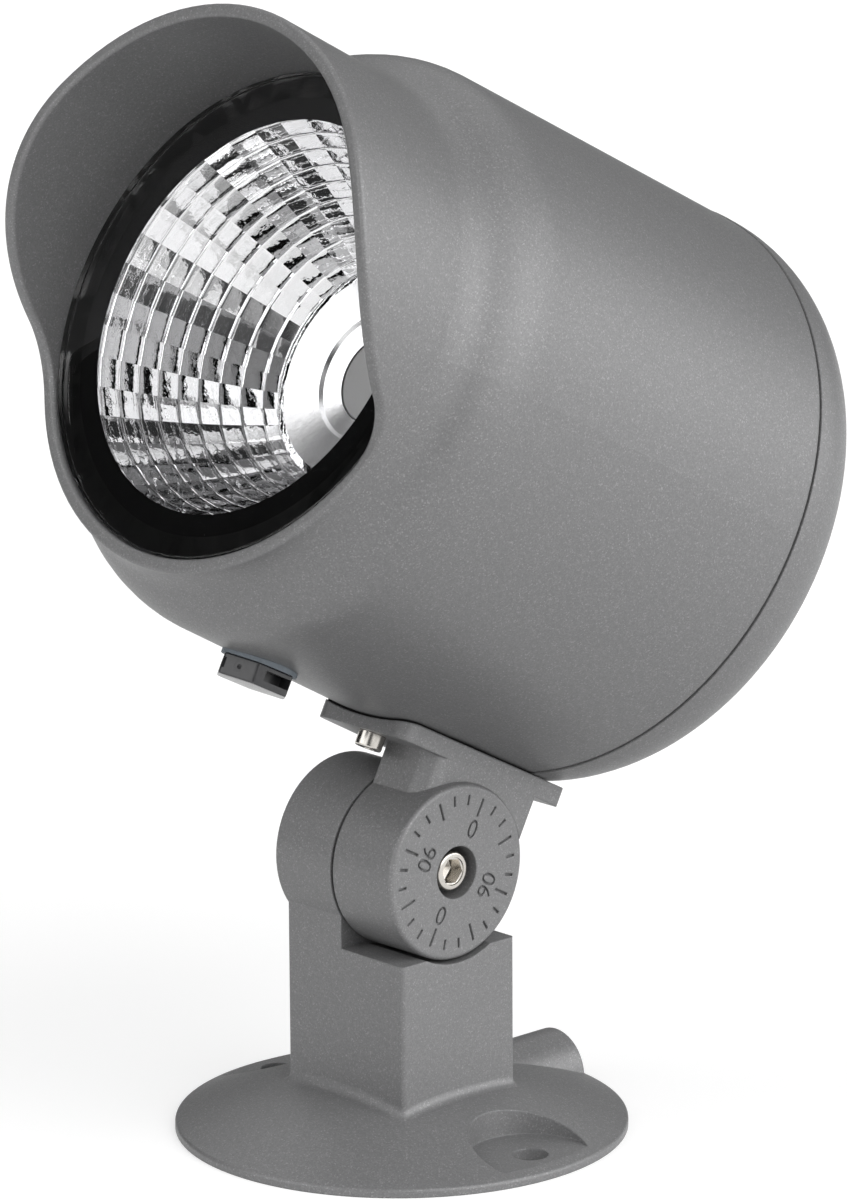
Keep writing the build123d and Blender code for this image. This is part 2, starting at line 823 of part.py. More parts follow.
def reflector():
    """Faceted mirror bowl with a smooth flared neck and a mounting flange."""
    rings = bowl_rings()
    base_along = rings[0][1]
    ring_along = base_along - reflector_flare_drop
    neck_along = base_along - reflector_neck_depth
    outline = [(0, neck_along), (reflector_neck_radius + reflector_wall / 2, neck_along)]
    outline.append((reflector_ring_radius, ring_along - reflector_wall))
    outline.append((rings[0][0] + reflector_wall, base_along - reflector_wall))
    outline += [(radius + reflector_wall, along) for radius, along in rings[1:]]
    outline.append((0, reflector_mouth))
    bowl = turned(polygon(*outline))
    flange_back = ledge_back - reflector_flange_thickness
    bowl += tube(reflector_flange_radius, bowl_radius(flange_back), flange_back, ledge_back)
    sections = []
    for radius, along in rings:
        sections.append(Pos(0, 0, along) * Rot(0, 0, facet_turn) * RegularPolygon(radius, facet_sectors))
    bowl -= loft(sections, ruled=True)
    bowl -= turned(polygon(
        (0, neck_along),
        (reflector_neck_radius, neck_along),
        (reflector_ring_radius, ring_along),
        (reflector_flare_radius, base_along),
        (0, base_along),
    ))
    hole = rod(m3_radius + screw_clearance, flange_back, ledge_back)
    return drilled(bowl, around(THIRDS, reflector_screw_circle, hole))


def reflector_screws():
    """Three screws from behind that hold the reflector's flange to the ledge."""
    seat = ledge_back - reflector_flange_thickness
    length = reflector_flange_thickness + reflector_screw_bite
    screw = Pos(0, 0, seat) * Rot(180, 0, 0) * cap_screw(M3, length)
    return around(THIRDS, reflector_screw_circle, screw)


def led_emitter():
    """Round light-emitting disc on the board."""
    return rod(led_radius, board_face, focus_along)


def led_board():
    """Metal-core circuit board on the heat sink's pedestal."""
    return rod(board_radius, sink_face, board_face)


def led_holder():
    """Clamp ring that presses the board on the pedestal, with two screw ears."""
    reflector_under = bowl_along(reflector_base_radius) - reflector_flare_drop - reflector_wall
    top = reflector_under - holder_gap
    ring = tube(holder_outer, holder_inner, board_face, top)
    reach = holder_screw_circle + holder_ear_width / 2
    ear = block(board_radius + holder_gap, holder_screw_circle, -holder_ear_width / 2, holder_ear_width / 2,
                sink_face, sink_face + holder_ear_thickness)
    ear += rod(reach - holder_screw_circle, sink_face, sink_face + holder_ear_thickness, x=holder_screw_circle)
    ear -= rod(board_radius + holder_gap, sink_face, board_face)
    hole = rod(m3_radius + screw_clearance, sink_face, sink_face + holder_ear_thickness)
    ring = merged(ring, around(ENDS, 0, ear))
    return drilled(ring, around(ENDS, holder_screw_circle, hole))


def led_holder_screws():
    """Two screws of the clamp ring."""
    seat = sink_face + holder_ear_thickness
    size = (m3_radius, m3_head_radius, holder_screw_head, m3_socket)
    screw = Pos(0, 0, seat) * cap_screw(size, holder_ear_thickness + holder_screw_bite)
    return around(ENDS, holder_screw_circle, screw)


# Heat sink and driver


def heat_sink():
    """Plate with a pedestal, radial fins and four fixing ears."""
    sink = rod(sink_radius, sink_plate_back, sink_plate_front)
    ear = block(0, sink_ear_reach, -sink_ear_width / 2, sink_ear_width / 2, sink_plate_back, sink_plate_front)
    sink = merged(sink, around(SIDES, 0, ear))
    sink += rod(pedestal_radius, sink_plate_front, sink_face)
    fin = block(0, fin_reach, -fin_thickness / 2, fin_thickness / 2, sink_plate_front,
                sink_plate_front + fin_height)
    step = 360 / fin_count
    sink = merged(sink, around([step * (index + 0.5) for index in range(fin_count)], 0, fin))
    passage = rod(m4_radius + screw_clearance, sink_plate_back, sink_plate_front)
    holder_hole_end = sink_face - holder_screw_bite - screw_end_gap
    holes = around(SIDES, sink_screw_circle, passage)
    holes += around(ENDS, holder_screw_circle, rod(m3_radius, holder_hole_end, sink_face))
    holes += around(ENDS, driver_screw_x, rod(m4_radius, sink_plate_back, sink_plate_front - screw_end_gap))
    holes.append(rod(lead_hole_radius, sink_plate_back, sink_plate_front, y=lead_hole_circle))
    return drilled(sink, holes)


def heat_sink_screws():
    """Four cap screws that hold the heat sink to the housing's bosses."""
    screw = Pos(0, 0, sink_plate_back) * Rot(180, 0, 0)
    screw = screw * cap_screw(M4, sink_thickness + sink_screw_bite)
    return around(SIDES, sink_screw_circle, screw)


def driver():
    """Sealed power supply on the back of the heat sink."""
    half_x = driver_width / 2
    half_y = driver_height / 2
    case = block(-half_x, half_x, -half_y, half_y, sink_plate_back - driver_depth, sink_plate_back)
    case = fillet(case.edges().filter_by(Axis.Z), driver_round)
    ear_back = sink_plate_back - driver_ear_thickness
    reach = half_x + driver_ear
    case += block(-reach, reach, -half_y / 2, half_y / 2, ear_back, sink_plate_back)
    hole = rod(m4_radius + screw_clearance, ear_back, sink_plate_back)
    return drilled(case, around(ENDS, driver_screw_x, hole))


def driver_screws():
    """Two screws of the power supply's ears."""
    seat = sink_plate_back - driver_ear_thickness
    length = driver_ear_thickness + sink_thickness - 2 * screw_end_gap
    return around(ENDS, driver_screw_x, Pos(0, 0, seat) * Rot(180, 0, 0) * cap_screw(M4, length))


# Vent plug


def vent_seat():
    """Height of the plug's upper face under the seal."""
    return -body_radius_at(vent_along) - vent_seal_thickness


def crowned_limit(top, end):
    """Turned form with a crowned end that trims the hexagon head, Z pointing away from the housing."""
    reach = vent_flats
    radius = (reach ** 2 + vent_crown ** 2) / (2 * vent_crown)
    centre = (0, end + vent_crown - radius)
    slope = math.degrees(math.asin((end - centre[1]) / radius))
    outline = Line((0, top), (reach, top)) + Line((reach, top), (reach, end))
    outline += arc_about(centre, radius, slope, 90)
    outline += Line((0, end + vent_crown), (0, top))
    return turned(outline)


def vent_plug():
    """Pressure vent with a slotted hexagon head, rounded edges and a crowned end."""
    prism = extrude(hexagon(vent_flats), vent_height + vent_crown)
    prism = fillet(prism.edges().filter_by(Axis.Z), vent_edge_round)
    plug = prism & crowned_limit(0, vent_height)
    plug += rod(vent_stem_radius, -vent_stem_reach, 0)
    slot_end = vent_height - vent_slot_margin
    slot_start = slot_end - vent_slot_height
    plug -= rod(vent_stem_radius / 2, -vent_stem_reach, slot_end)
    slot_left = vent_slot_shift - vent_slot_width / 2
    slot_right = vent_slot_shift + vent_slot_width / 2
    slot = block(0, vent_flats, slot_left, slot_right, slot_start, slot_end)
    plug = drilled(plug, around(THIRDS, 0, slot))
    return Pos(0, vent_seat(), vent_along) * Rot(90, 0, 0) * Rot(0, 0, vent_turn) * plug


def vent_seal():
    """Soft washer between the vent's flange and the housing."""
    low = vent_seat()
    washer = rod_y(vent_seal_radius, low, 0, z=vent_along) - rod_y(vent_stem_radius, low, 0, z=vent_along)
    return washer - body_form(0, vent_along - 2 * vent_seal_radius, shoulder_start + shoulder_convex)


BASE_NODES = {
    "base_casting": base_casting,
    "cable_grommet": cable_grommet,
    "terminal_block": terminal_block,
    "terminal_screw": terminal_screw,
    "earth_screw": earth_screw,
    "pivot_bolt": pivot_bolt,
    "pivot_washer": pivot_washer,
    "pivot_nut": pivot_nut,
    "pivot_o_ring": pivot_o_ring,
}

HEAD_NODES = {
    "knuckle_bracket": knuckle_bracket,
    "plate_gasket": plate_gasket,
    "plate_front_screw": plate_front_screw,
    "plate_inner_screws": plate_inner_screws,
    "head_housing": head_housing,
    "front_glass": front_glass,
    "glass_seal": glass_seal,
    "rear_cover": rear_cover,
    "rear_cover_seal": rear_cover_seal,
    "rear_cover_screws": rear_cover_screws,
    "reflector": reflector,
    "reflector_screws": reflector_screws,
    "led_emitter": led_emitter,
    "led_board": led_board,
    "led_holder": led_holder,
    "led_holder_screws": led_holder_screws,
    "heat_sink": heat_sink,
    "heat_sink_screws": heat_sink_screws,
    "driver": driver,
    "driver_screws": driver_screws,
    "vent_plug": vent_plug,
    "vent_seal": vent_seal,
}


def save(name, piece):
    """Writes one piece, or a group of like pieces, as its own file."""
    shape = Compound(children=piece) if isinstance(piece, list) else piece
    export_step(shape, f"parts/{name}.step")


os.makedirs("parts", exist_ok=True)
for node_name, make in BASE_NODES.items():
    save(node_name, make())
for node_name, make in HEAD_NODES.items():
    made = make()
    save(node_name, [in_head(one) for one in made] if isinstance(made, list) else in_head(made))
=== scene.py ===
"""Looks of a tiltable outdoor spotlight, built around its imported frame. All sizes are in metres."""
import bmesh
import bpy
import json
import math
from collections import namedtuple
from mathutils import Matrix, Vector


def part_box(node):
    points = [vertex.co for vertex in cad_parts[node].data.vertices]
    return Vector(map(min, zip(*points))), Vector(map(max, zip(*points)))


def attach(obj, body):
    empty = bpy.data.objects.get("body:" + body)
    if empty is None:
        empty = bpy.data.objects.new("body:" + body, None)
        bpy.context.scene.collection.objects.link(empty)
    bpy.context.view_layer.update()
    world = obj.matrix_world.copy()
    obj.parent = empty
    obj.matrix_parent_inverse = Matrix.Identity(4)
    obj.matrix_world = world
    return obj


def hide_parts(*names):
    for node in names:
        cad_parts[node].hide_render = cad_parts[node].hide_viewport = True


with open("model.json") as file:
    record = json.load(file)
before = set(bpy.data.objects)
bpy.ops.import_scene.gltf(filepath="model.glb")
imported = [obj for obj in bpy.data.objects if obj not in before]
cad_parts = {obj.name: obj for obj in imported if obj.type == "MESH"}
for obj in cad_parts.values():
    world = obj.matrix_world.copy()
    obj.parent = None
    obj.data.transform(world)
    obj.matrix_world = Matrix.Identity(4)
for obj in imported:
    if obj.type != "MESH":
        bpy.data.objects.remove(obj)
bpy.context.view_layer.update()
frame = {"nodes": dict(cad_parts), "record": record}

# Head frame: X across, Y up from the head's axis, Z forward along it, as tilted at rest
REST_TILT = math.radians(28.37)
AXIS_HEIGHT = 0.1052
PIVOT = Vector(frame["record"]["behaviour"]["joints"][0]["pos_m"])
HEAD = (
    Matrix.Translation(PIVOT)
    @ Matrix.Rotation(math.pi / 2 - REST_TILT, 4, "X")
    @ Matrix.Translation((0.0, AXIS_HEIGHT, 0.0))
)

# Camera
CAMERA_PLACE = Vector((1.13973, -1.05168, 0.52982))
CAMERA_AIM = Vector((0.00940, 0.0, 0.13851))
CAMERA_ROLL = math.radians(-0.337)
LENS = 193.04
SENSOR = 36.0

# Reflector, along the head's axis
FACET_SECTORS = 40
FACET_TURN = math.radians(1.6)
FACET_FIRST = 0.07005
FACET_HEIGHT = 0.00455
FACET_CUTS = 6
FACET_BULGE = 0.000015
FACET_POWER = 4
ROW_SHARES = (0.0, 0.03, 0.07, 0.12, 0.3, 0.5, 0.7, 0.88, 0.93, 0.97, 1.0)
ROW_BULGE = 0.00011
ROW_POWER = 12
BOWL_SHARP_ANGLE = 8
BOWL_FOCAL = 0.0121
BOWL_VERTEX = 0.0505
BOWL_BASE_RADIUS = 0.0284
BOWL_MOUTH = 0.1084
BOWL_WALL = 0.0016
FLARE_OUTER = 0.0264
FLARE_CREASE = 0.0168
FLARE_INNER = 0.0160
FLARE_DROP = 0.0022
FLARE_STEP = 0.0008
NECK_RADIUS = 0.0112
NECK_DEPTH = 0.0042
FLARE_STEPS = 8
FLANGE_RADIUS = 0.061
FLANGE_BACK = 0.1004
FLANGE_FRONT = 0.1022

# Printed border behind the glass
BORDER_INNER = 0.05054
BORDER_OUTER = 0.0619
BORDER_BACK = 0.1088
BORDER_FRONT = 0.10889
ROUND_SEGMENTS = 144

# Socket cap screws: radius of shank and head, height of head, socket across its flats
Screw = namedtuple("Screw", "shank head height socket")
M4 = Screw(0.002, 0.0035, 0.004, 0.003)
M6 = Screw(0.003, 0.005, 0.006, 0.006)
SCREW_SEGMENTS = 48
SOCKET_SHARE = 0.75
SCREW_SHARP_ANGLE = 28
BOLT_SPIN = math.radians(20)
COVER_SCREW_TURNS = (45, 135, 225, 315)

# Rounding and chamfers of a screw, as shares of its head, its shank and its socket
HEAD_ROUND = 0.14
HEAD_ROUND_TURNS = (22.5, 45, 67.5, 90)
HEAD_FOOT = 0.97
FOOT_RISE = 0.3
TIP_RADIUS = 0.8
TIP_LENGTH = 0.25
SOCKET_MOUTH = 1.04
MOUTH_DEPTHS = (0.45, 0.55)
SOCKET_CONE = 0.22

# Vent plug, with the heights from the housing outwards
VENT_ALONG = 0.0685
VENT_SEAT = -0.076304
VENT_TURN = math.radians(-17)
VENT_FLATS = 0.0176
VENT_ROUND = 0.0015
VENT_EDGE = 0.0004
VENT_HEIGHT = 0.005
VENT_CROWN = 0.0006
VENT_STEM_RADIUS = 0.006
VENT_STEM_LENGTH = 0.008
VENT_STEPS = 4
VENT_SLOT_FLOOR = 0.003
VENT_SLOT_SIDES = (-0.0056, 0.0024)
VENT_SLOT_HEIGHTS = (0.0012, 0.0038)
VENT_SLOT_TURNS = (30, 150, 270)
VENT_CROWN_SHARES = (0.8, 0.6, 0.4, 0.2)
VENT_SHARP_ANGLE = 25

# Gate mark in one of the plug's flats: radius and height over the flat, from outside to its bottom
VENT_MARK = (
    (0.0014, 0.0004), (0.0014, -0.00003), (0.0006, -0.0001), (0.00045, -0.0004), (0.0001, -0.0006),
)
VENT_MARK_SEGMENTS = 24

# Dial marks, measured from the dial's centre
DIAL_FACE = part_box("knuckle_bracket")[1].x
DIAL_STEP = 15
DIAL_LONG_STEP = 45
LONG_MARK = (0.0149, 0.0196)
SHORT_MARK = (0.0171, 0.0197)
MARK_WIDTH = 0.0007
MARK_DEPTH = 0.0007
MARK_TAPER = 0.3
NUMERAL_RADIUS = 0.0118
NUMERAL_SIZE = 0.0068
NUMERAL_THIN = 0.004
NUMERALS = (("0", 0), ("90", 90), ("0", 180), ("90", 270))

# Rounded rim of the dial
RIM_RADIUS = 0.0225
RIM_ROUND = 0.0012
RIM_SPARE = 0.00005
RIM_STEPS = 6

# Points closer than this are one point
HAIR = 0.000002

# Powder coat: tones of its flakes from dark to bright, grain and softened edges
COAT_METALLIC = 0.3
COAT_ROUGHNESS = (0.39, 0.5)
FLAKE_SCALE = 3200.0
FLAKE_TONES = (
    (0.0, (0.18, 0.18, 0.183, 1.0)),
    (0.5, (0.2, 0.2, 0.203, 1.0)),
    (0.9, (0.224, 0.224, 0.226, 1.0)),
    (1.0, (0.3, 0.3, 0.3, 1.0)),
)
GRAIN_SCALE = 1900.0
GRAIN_HEIGHT = 0.000014
EDGE_ROUNDING = 0.0006

# Mirror and glass
MIRROR_COLOUR = (0.94, 0.94, 0.95, 1.0)
BOWL_ROUGHNESS = (0.005, 0.03)
FLARE_ROUGHNESS = (0.2, 0.24)
PEEL_SCALE = 620.0
PEEL_HEIGHT = 0.000016
GLASS_ROUGHNESS = (0.0, 0.012)
GLASS_MARK_SCALE = 60.0

# Plain finishes: colour, its spread, grain scale, range of roughness, grain height, metallic share
FINISHES = {
    "stainless": ((0.6, 0.575, 0.535), 0.05, 900.0, (0.16, 0.26), 0.000002, 1.0),
    "bare_aluminium": ((0.62, 0.63, 0.64), 0.08, 300.0, (0.3, 0.5), 0.00001, 1.0),
    "black_print": ((0.003, 0.003, 0.0033), 0.2, 300.0, (0.5, 0.6), 0.0, 0.0),
    "black_rubber": ((0.006, 0.006, 0.006), 0.25, 500.0, (0.6, 0.8), 0.00002, 0.0),
    "grey_rubber": ((0.2, 0.23, 0.26), 0.1, 500.0, (0.5, 0.7), 0.00002, 0.0),
    "vent_plastic": ((0.055, 0.055, 0.058), 0.1, 500.0, (0.18, 0.28), 0.000004, 0.0),
    "black_plastic": ((0.014, 0.014, 0.0145), 0.2, 800.0, (0.3, 0.45), 0.00001, 0.0),
    "holder_plastic": ((0.75, 0.73, 0.68), 0.05, 400.0, (0.4, 0.55), 0.00001, 0.0),
    "board_white": ((0.8, 0.8, 0.78), 0.04, 500.0, (0.4, 0.5), 0.000005, 0.0),
    "driver_case": ((0.06, 0.06, 0.065), 0.15, 300.0, (0.45, 0.6), 0.00002, 0.0),
    "led_phosphor": ((0.6, 0.6, 0.6), 0.03, 1500.0, (0.35, 0.5), 0.000005, 0.0),
}
DULL_SPECULAR = {"black_print": 0.0, "black_rubber": 0.15}

# Solids that keep their shape, by finish
COATED_NODES = ("base_casting", "head_housing")
STEEL_NODES = (
    "pivot_nut", "pivot_washer", "plate_inner_screws", "terminal_screw", "earth_screw",
    "reflector_screws", "led_holder_screws", "heat_sink_screws", "driver_screws",
)
FINISHED_NODES = {
    "black_rubber": ("plate_gasket", "rear_cover_seal", "glass_seal", "cable_grommet", "pivot_o_ring"),
    "grey_rubber": ("vent_seal",),
    "black_plastic": ("terminal_block",),
    "holder_plastic": ("led_holder",),
    "board_white": ("led_board",),
    "bare_aluminium": ("heat_sink",),
    "driver_case": ("driver",),
    "led_phosphor": ("led_emitter",),
}

# Floor and sky
FLOOR_SIZE = 14.0
FLOOR_TONE = 0.6
FLOOR_ROUGHNESS = 0.9
FLOOR_LIFT = 0.5
# Radius under the base where the floor gets no lift: painted shade, seen through the base's holes
COVERED_RADIUS = 0.0565
SKY_LEVEL = 0.03

# Soft boxes: azimuth and elevation, full and outer radius in degrees, level
SOFT_BOXES = (
    (0, 10, 12, 40, 0.9),
    (0, 42, 12, 40, 2.36),
    (45, 12, 12, 40, 2.35),
    (-75, 10, 10, 24, 1.38),
    (-75, 38, 10, 24, 0.61),
    (-112, 28, 17, 25, 1.9),
    (-140, 58, 14, 22, 1.2),
    (138, 50, 12, 40, 0.68),
)


def material(name, **sockets):
    """New material with a Principled shader whose sockets take constant values."""
    made = bpy.data.materials.new(name)
    made.use_nodes = True
    shader = made.node_tree.nodes["Principled BSDF"]
    for socket, value in sockets.items():
        shader.inputs[socket.replace("_", " ")].default_value = value
    return made


def add_node(made, kind, **settings):
    """New node in a material or world, with its properties and unlinked sockets set."""
    node = made.node_tree.nodes.new(kind)
    for key, value in settings.items():
        if hasattr(node, key):
            setattr(node, key, value)
        else:
            node.inputs[key.replace("_", " ")].default_value = value
    return node


def link(made, source, socket, target, entry):
    """Links an output of one node to an input of another."""
    made.node_tree.links.new(source.outputs[socket], target.inputs[entry])


def shader_of(made):
    """The Principled shader of a material."""
    return made.node_tree.nodes["Principled BSDF"]


def grey(value):
    """Neutral colour."""
    return (value, value, value, 1.0)


def ramp(made, *stops):
    """Colour ramp with stops given as place and colour."""
    node = add_node(made, "ShaderNodeValToRGB")
    elements = node.color_ramp.elements
    while len(elements) < len(stops):
        elements.new(0.5)
    for element, (place, colour) in zip(elements, stops):
        element.position = place
        element.color = colour
    return node


def noise(made, scale, detail=3.0):
    """Noise in the piece's own coordinates."""
    place = add_node(made, "ShaderNodeTexCoord")
    node = add_node(made, "ShaderNodeTexNoise", Scale=scale, Detail=detail)
    link(made, place, "Object", node, "Vector")
    return node


def rough_from(made, source, socket, limits):
    """Spreads a shader's roughness between two limits."""
    spread = add_node(made, "ShaderNodeMapRange", To_Min=limits[0], To_Max=limits[1])
    link(made, source, socket, spread, "Value")
    link(made, spread, "Result", shader_of(made), "Roughness")


def bump_from(made, source, socket, height, rounding=0.0):
    """Bumps a surface by a height in metres, and softens its edges where a rounding is given."""
    bump = add_node(made, "ShaderNodeBump", Strength=1.0, Distance=height)
    link(made, source, socket, bump, "Height")
    if rounding:
        soft = add_node(made, "ShaderNodeBevel", samples=4, Radius=rounding)
        link(made, soft, "Normal", bump, "Normal")
    link(made, bump, "Normal", shader_of(made), "Normal")


def coat_material():
    """Satin grey powder coat with fine bright flakes and a slight grain."""
    made = material("grey_coating", Metallic=COAT_METALLIC)
    place = add_node(made, "ShaderNodeTexCoord")
    flakes = add_node(made, "ShaderNodeTexVoronoi", Scale=FLAKE_SCALE)
    link(made, place, "Object", flakes, "Vector")
    parts = add_node(made, "ShaderNodeSeparateColor")
    link(made, flakes, "Color", parts, "Color")
    tone = ramp(made, *FLAKE_TONES)
    link(made, parts, "Red", tone, "Fac")
    link(made, tone, "Color", shader_of(made), "Base Color")
    rough_from(made, parts, "Green", COAT_ROUGHNESS)
    grain = noise(made, GRAIN_SCALE)
    bump_from(made, grain, "Fac", GRAIN_HEIGHT, EDGE_ROUNDING)
    return made


def finish(name):
    """Plain material whose colour, roughness and surface vary with a noise."""
    colour, spread, scale, roughness, height, metallic = FINISHES[name]
    made = material(name, Metallic=metallic)
    if name in DULL_SPECULAR:
        shader_of(made).inputs["Specular IOR Level"].default_value = DULL_SPECULAR[name]
    grain = noise(made, scale)
    darker = tuple(value * (1 - spread) for value in colour) + (1.0,)
    lighter = tuple(value * (1 + spread) for value in colour) + (1.0,)
    tone = ramp(made, (0.3, darker), (0.7, lighter))
    link(made, grain, "Fac", tone, "Fac")
    link(made, tone, "Color", shader_of(made), "Base Color")
    rough_from(made, grain, "Fac", roughness)
    if height:
        bump_from(made, grain, "Fac", height)
    return made


def mirror_material(name, roughness):
    """Vapour-coated mirror with a faint orange peel."""
    made = material(name, Base_Color=MIRROR_COLOUR, Metallic=1.0)
    peel = noise(made, PEEL_SCALE, detail=2.0)
    rough_from(made, peel, "Fac", roughness)
    bump_from(made, peel, "Fac", PEEL_HEIGHT)
    return made


def glass_material():
    """Clear tempered glass with hardly visible wipe marks."""
    made = material("clear_glass", Base_Color=grey(1.0), IOR=1.5, Transmission_Weight=1.0)
    marks = noise(made, GLASS_MARK_SCALE, detail=6.0)
    rough_from(made, marks, "Fac", GLASS_ROUGHNESS)
    return made


def smooth(mesh, angle=30):
    """Smooth shading with sharp edges above an angle in degrees."""
    mesh.polygons.foreach_set("use_smooth", [True] * len(mesh.polygons))
    mesh.set_sharp_from_angle(angle=math.radians(angle))


def piece_from(name, mesh, made, body):
    """Puts a mesh into the scene as a piece that rides on a body."""
    piece = bpy.data.objects.new(name, mesh)
    bpy.context.collection.objects.link(piece)
    piece.data.materials.clear()
    piece.data.materials.append(made)
    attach(piece, body)
    return piece


def mesh_from(name, points, faces):
    """New mesh from points and faces, with its faces turned outwards."""
    mesh = bpy.data.meshes.new(name)
    mesh.from_pydata(points, [], faces)
    form = bmesh.new()
    form.from_mesh(mesh)
    bmesh.ops.recalc_face_normals(form, faces=form.faces)
    form.to_mesh(mesh)
    form.free()
    return mesh


def bridge(first, second, count):
    """Quads between two closed rings of points, given by the rings' first indices."""
    quads = []
    for index in range(count):
        after = (index + 1) % count
        quads.append((first + index, first + after, second + after, second + index))
    return quads


def ring(radius, along, count):
    """Points of a circle about Z."""
    turns = [2 * math.pi * index / count for index in range(count)]
    return [Vector((radius * math.cos(turn), radius * math.sin(turn), along)) for turn in turns]


def hexagon_ring(flats, along, count):
    """Points of a hexagon about Z, as many on each side."""
    points = []
    for index in range(count):
        turn = 2 * math.pi * index / count
        off = turn % (math.pi / 3) - math.pi / 6
        radius = flats / 2 / math.cos(off)
        points.append(Vector((radius * math.cos(turn), radius * math.sin(turn), along)))
    return points


def lofted(name, rings, closed=False):
    """Mesh through rings with equal numbers of points, closed on itself or by a fan at each end."""
    count = len(rings[0])
    points = [point for one in rings for point in one]
    faces = []
    for index in range(len(rings) - 1):
        faces += bridge(index * count, (index + 1) * count, count)
    last = (len(rings) - 1) * count
    if closed:
        faces += bridge(last, 0, count)
        return mesh_from(name, points, faces)
    for start, one in ((0, rings[0]), (last, rings[-1])):
        points.append(sum(one, Vector()) / count)
        centre = len(points) - 1
        faces += [(start + index, start + (index + 1) % count, centre) for index in range(count)]
    return mesh_from(name, points, faces)


def span(node):
    """Lowest and highest corners of a node in the head frame."""
    back = HEAD.inverted()
    points = [back @ vertex.co for vertex in frame["nodes"][node].data.vertices]
    low = Vector(min(point[axis] for point in points) for axis in range(3))
    high = Vector(max(point[axis] for point in points) for axis in range(3))
    return low, high


def add_box(form, corners):
    """Adds the faces of a box to a form, from its lower and then its upper four corners."""
    for face in ((3, 2, 1, 0), (4, 5, 6, 7), (0, 1, 5, 4), (1, 2, 6, 5), (2, 3, 7, 6), (3, 0, 4, 7)):
        form.faces.new([corners[index] for index in face])


def weld(mesh):
    """Joins the points of a mesh that lie a hair apart and drops the slivers between them."""
    form = bmesh.new()
    form.from_mesh(mesh)
    bmesh.ops.remove_doubles(form, verts=form.verts, dist=HAIR)
    bmesh.ops.dissolve_degenerate(form, edges=form.edges, dist=HAIR)
    form.to_mesh(mesh)
    form.free()


def welded_copy(node):
    """Mesh of a node with its split edges joined and its own normals dropped."""
    mesh = frame["nodes"][node].data.copy()
    if "custom_normal" in mesh.attributes:
        mesh.attributes.remove(mesh.attributes["custom_normal"])
    weld(mesh)
    return mesh


def carved(name, blank_mesh, cutter_mesh):
    """Mesh of a blank with a cutter taken out of it."""
    blank = bpy.data.objects.new(name, blank_mesh)
    cutter = bpy.data.objects.new("cutter", cutter_mesh)
    bpy.context.collection.objects.link(blank)
    bpy.context.collection.objects.link(cutter)
    cut = blank.modifiers.new("carve", "BOOLEAN")
    cut.object = cutter
    cut.solver = "EXACT"
    state = bpy.context.evaluated_depsgraph_get()
    mesh = bpy.data.meshes.new_from_object(blank.evaluated_get(state))
    bpy.data.objects.remove(blank)
    bpy.data.objects.remove(cutter)
    weld(mesh)
    return mesh


def even_shading(piece):
    """Lets a piece's large faces set the direction of its shading."""
    even = piece.modifiers.new("even_shading", "WEIGHTED_NORMAL")
    even.keep_sharp = True


# Reflector


def bowl_radius(along):
    """Radius of the reflector's parabola at a place along the axis."""
    return math.sqrt(4 * BOWL_FOCAL * (along - BOWL_VERTEX))


def facet_row(lower, upper, share):
    """Points round the bowl on a line at a share of the height of one row of pillow facets."""
    rise = 2 * share - 1
    points = []
    for sector in range(FACET_SECTORS):
        sides = [FACET_TURN + 2 * math.pi * (sector + side) / FACET_SECTORS for side in (0, 1)]
        corners = []
        for radius, along in (lower, upper):
            corners.append([Vector((radius * math.cos(a), radius * math.sin(a), along)) for a in sides])
        across = corners[0][1] - corners[0][0]
        out = across.cross(corners[1][0] - corners[0][0]).normalized()
        for cut in range(FACET_CUTS):
            way = cut / FACET_CUTS
            low = corners[0][0].lerp(corners[0][1], way)
            high = corners[1][0].lerp(corners[1][1], way)
            bulge = ROW_BULGE * (1 - rise ** ROW_POWER)
            bulge += FACET_BULGE * (1 - (2 * way - 1) ** FACET_POWER)
            points.append(low.lerp(high, share) - out * bulge)
    return points


def facet_edges():
    """Radius and place of each facet row's edges, with part rows at both ends."""
    places = [BOWL_VERTEX + BOWL_BASE_RADIUS ** 2 / (4 * BOWL_FOCAL)]
    place = FACET_FIRST
    while place < BOWL_MOUTH:
        places.append(place)
        place += FACET_HEIGHT
    places.append(BOWL_MOUTH)
    return [(bowl_radius(place), place) for place in places]


def reflector_rings():
    """Rings of the reflector, from the bowl's mouth in to the neck and back outside to the mouth."""
    count = FACET_SECTORS * FACET_CUTS
    edges = facet_edges()
    base = edges[0][1]
    rings = []
    for row in reversed(range(len(edges) - 1)):
        for share in reversed(ROW_SHARES[1:]):
            rings.append(facet_row(edges[row], edges[row + 1], share))
    rings.append(facet_row(edges[0], edges[1], 0.0))
    for step in range(FLARE_STEPS + 1):
        way = step / FLARE_STEPS
        radius = FLARE_OUTER + (FLARE_CREASE - FLARE_OUTER) * way
        rings.append(ring(radius, base - FLARE_DROP * way, count))
    crease = base - FLARE_DROP - FLARE_STEP
    for step in range(FLARE_STEPS + 1):
        way = step / FLARE_STEPS
        radius = FLARE_INNER + (NECK_RADIUS - FLARE_INNER) * way
        rings.append(ring(radius, crease - (NECK_DEPTH + crease - base) * way, count))
    outside = [
        (NECK_RADIUS + BOWL_WALL / 2, base - NECK_DEPTH),
        (FLARE_INNER, crease - BOWL_WALL),
        (BOWL_BASE_RADIUS + BOWL_WALL, base - BOWL_WALL),
    ]
    outside += [(radius + BOWL_WALL, place) for radius, place in edges[1:] if place < FLANGE_BACK]
    outside.append((bowl_radius(FLANGE_BACK) + BOWL_WALL, FLANGE_BACK))
    outside.append((FLANGE_RADIUS, FLANGE_BACK))
    outside.append((FLANGE_RADIUS, FLANGE_FRONT))
    outside.append((bowl_radius(FLANGE_FRONT) + BOWL_WALL, FLANGE_FRONT))
    outside.append((edges[-1][0] + BOWL_WALL, BOWL_MOUTH))
    rings += [ring(radius, place, count) for radius, place in outside]
    return rings


